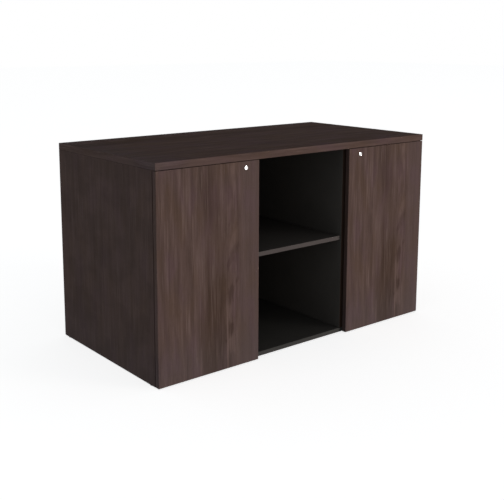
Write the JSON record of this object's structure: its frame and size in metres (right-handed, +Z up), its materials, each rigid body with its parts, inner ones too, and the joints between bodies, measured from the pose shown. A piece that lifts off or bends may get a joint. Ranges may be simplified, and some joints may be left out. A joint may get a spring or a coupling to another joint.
{
  "type": "office credenza",
  "caption": "Free-standing office credenza: a thick top over lockable hinged-door cupboards that flank an open bay with a mid-height shelf, standing on low glides.",
  "frame": {"origin": "on the floor, under the middle of the overall box", "axes": "+X to the right as seen from the front, +Y from the door faces to the back, +Z up"},
  "size_m": [1.3, 0.662, 0.755],
  "materials": {
    "dark_walnut_laminate": "satin dark walnut laminate on board, with matching edge bands",
    "graphite_melamine": "matt graphite melamine on board",
    "nickel_plated_steel": "nickel-plated pressed steel",
    "chrome_plated_zinc": "polished chrome plate",
    "black_nylon": "moulded black nylon"
  },
  "bodies": {
    "cabinet": {"back_panel": "dark_walnut_laminate", "bottom_panel": "graphite_melamine", "centre_shelf": "graphite_melamine", "centre_shelf_pin_left_front": "nickel_plated_steel", "centre_shelf_pin_left_rear": "nickel_plated_steel", "centre_shelf_pin_right_front": "nickel_plated_steel", "centre_shelf_pin_right_rear": "nickel_plated_steel", "left_divider": "graphite_melamine", "left_divider_glide_front": "black_nylon", "left_divider_glide_rear": "black_nylon", "left_lock_keeper": "nickel_plated_steel", "left_lower_hinge_arm": "nickel_plated_steel", "left_lower_hinge_plate": "nickel_plated_steel", "left_shelf": "graphite_melamine", "left_shelf_pin_left_front": "nickel_plated_steel", "left_shelf_pin_left_rear": "nickel_plated_steel", "left_shelf_pin_right_front": "nickel_plated_steel", "left_shelf_pin_right_rear": "nickel_plated_steel", "left_side_glide_front": "black_nylon", "left_side_glide_rear": "black_nylon", "left_side_panel": "dark_walnut_laminate", "left_upper_hinge_arm": "nickel_plated_steel", "left_upper_hinge_plate": "nickel_plated_steel", "right_divider": "graphite_melamine", "right_divider_glide_front": "black_nylon", "right_divider_glide_rear": "black_nylon", "right_lock_keeper": "nickel_plated_steel", "right_lower_hinge_arm": "nickel_plated_steel", "right_lower_hinge_plate": "nickel_plated_steel", "right_shelf": "graphite_melamine", "right_shelf_pin_left_front": "nickel_plated_steel", "right_shelf_pin_left_rear": "nickel_plated_steel", "right_shelf_pin_right_front": "nickel_plated_steel", "right_shelf_pin_right_rear": "nickel_plated_steel", "right_side_glide_front": "black_nylon", "right_side_glide_rear": "black_nylon", "right_side_panel": "dark_walnut_laminate", "right_upper_hinge_arm": "nickel_plated_steel", "right_upper_hinge_plate": "nickel_plated_steel", "top_panel": "dark_walnut_laminate"},
    "left_door": {"left_door": "dark_walnut_laminate", "left_lock_barrel": "chrome_plated_zinc", "left_lock_nut": "nickel_plated_steel", "left_lower_hinge_cup": "nickel_plated_steel", "left_upper_hinge_cup": "nickel_plated_steel"},
    "right_door": {"right_door": "dark_walnut_laminate", "right_lock_barrel": "chrome_plated_zinc", "right_lock_nut": "nickel_plated_steel", "right_lower_hinge_cup": "nickel_plated_steel", "right_upper_hinge_cup": "nickel_plated_steel"},
    "left_hinge_links": {"left_lower_hinge_link": "nickel_plated_steel", "left_upper_hinge_link": "nickel_plated_steel"},
    "right_hinge_links": {"right_lower_hinge_link": "nickel_plated_steel", "right_upper_hinge_link": "nickel_plated_steel"},
    "left_lock": {"left_lock_cam": "nickel_plated_steel", "left_lock_plug": "chrome_plated_zinc"},
    "right_lock": {"right_lock_cam": "nickel_plated_steel", "right_lock_plug": "chrome_plated_zinc"}
  },
  "joints": [
    {"name": "left_door_swing", "type": "hinge", "parent": "cabinet", "child": "left_door", "pos_m": [-0.64249, -0.323, 0.36], "axis": [0, 0, -1], "range_deg": [0, 110]},
    {"name": "right_door_swing", "type": "hinge", "parent": "cabinet", "child": "right_door", "pos_m": [0.64249, -0.323, 0.36], "axis": [0, 0, 1], "range_deg": [0, 110]},
    {"name": "left_link_swing", "type": "hinge", "parent": "cabinet", "child": "left_hinge_links", "pos_m": [-0.616, -0.317, 0.36], "axis": [0, 0, 1], "range_deg": [0, 55]},
    {"name": "right_link_swing", "type": "hinge", "parent": "cabinet", "child": "right_hinge_links", "pos_m": [0.616, -0.317, 0.36], "axis": [0, 0, -1], "range_deg": [0, 55]},
    {"name": "left_lock_turn", "type": "hinge", "parent": "left_door", "child": "left_lock", "pos_m": [-0.282, -0.329, 0.705], "axis": [0, 1, 0], "range_deg": [0, 90]},
    {"name": "right_lock_turn", "type": "hinge", "parent": "right_door", "child": "right_lock", "pos_m": [0.282, -0.329, 0.705], "axis": [0, 1, 0], "range_deg": [0, 90]}
  ],
  "couplings": [
    {"joint": "left_link_swing", "follows": "left_door_swing", "ratio": 0.5},
    {"joint": "right_link_swing", "follows": "right_door_swing", "ratio": 0.5}
  ]
}
